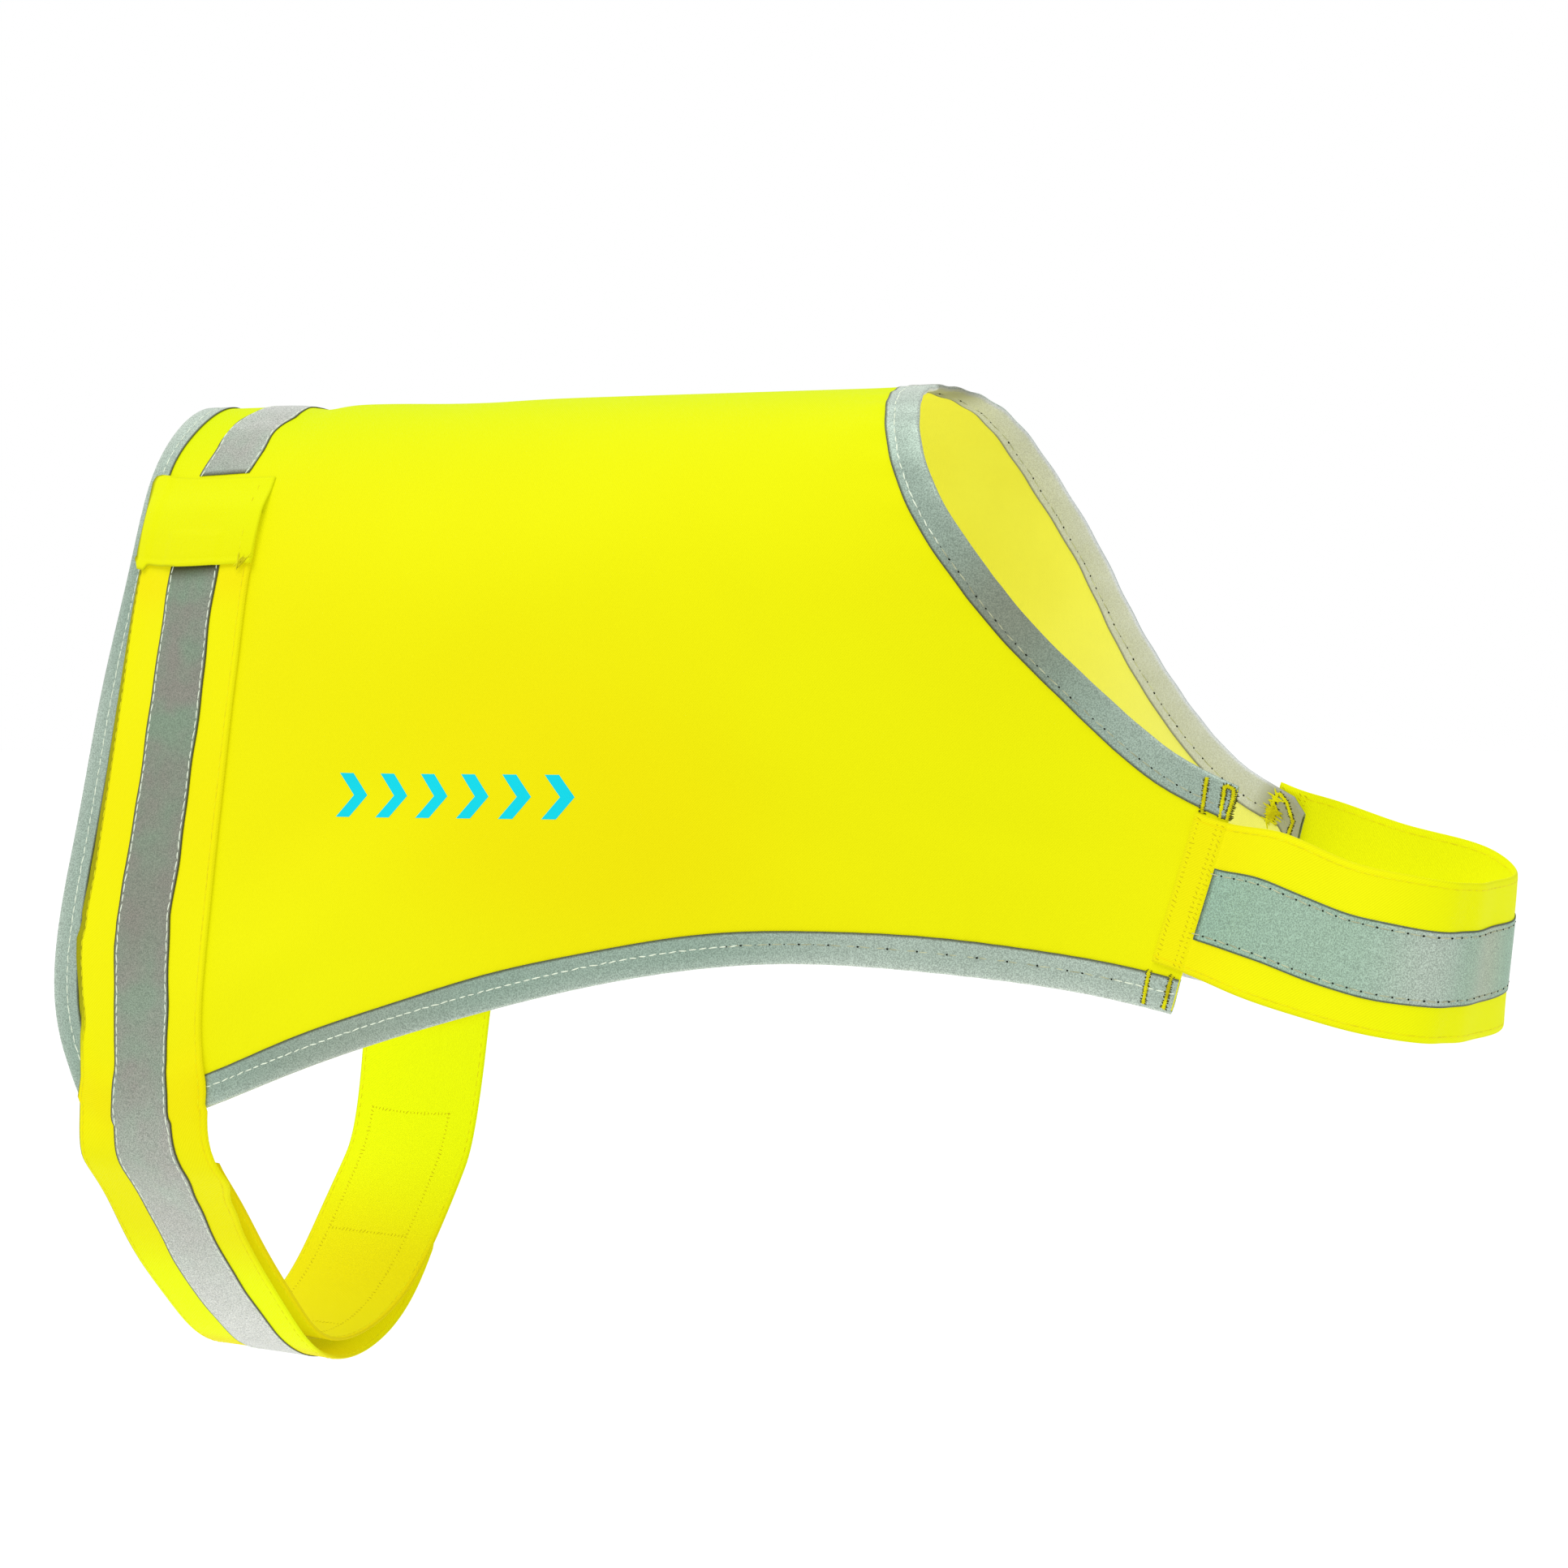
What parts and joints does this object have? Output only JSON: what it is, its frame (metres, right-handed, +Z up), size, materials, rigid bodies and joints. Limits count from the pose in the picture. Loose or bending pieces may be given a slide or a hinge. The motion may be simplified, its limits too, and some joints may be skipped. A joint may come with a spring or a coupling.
{
  "type": "reflective dog vest",
  "caption": "Fluorescent dog vest held open as worn: back panel with taped neck and hems, strap closing under the belly, reflective strap round the chest.",
  "frame": {"origin": "inner face of the back panel at the middle of its ridge, where the wearer's back holds the vest up", "axes": "+X towards the wearer's head, +Y to the wearer's left (the far side), +Z up; the long way of the vest runs along X"},
  "size_m": [0.5168, 0.1926, 0.3631],
  "materials": {
    "panel_cloth": "smooth fluorescent yellow polyester",
    "strap_cloth": "fluorescent yellow twill polyester",
    "reflective_tape": "grey glass-bead reflective tape, satin",
    "touch_fastener": "matt yellow hook and loop tape"
  },
  "bodies": {
    "root": {"back_panel": "panel_cloth", "neck_binding": "reflective_tape", "edge_binding": "reflective_tape", "girth_strap_outer": "strap_cloth", "girth_strap_inner": "strap_cloth", "girth_tape_near": "reflective_tape", "girth_tape_far": "reflective_tape", "hook_tape": "touch_fastener", "loop_tape": "touch_fastener", "back_tape": "reflective_tape", "strap_cover": "panel_cloth", "chest_strap": "strap_cloth", "chest_tape": "reflective_tape"}
  },
  "joints": []
}
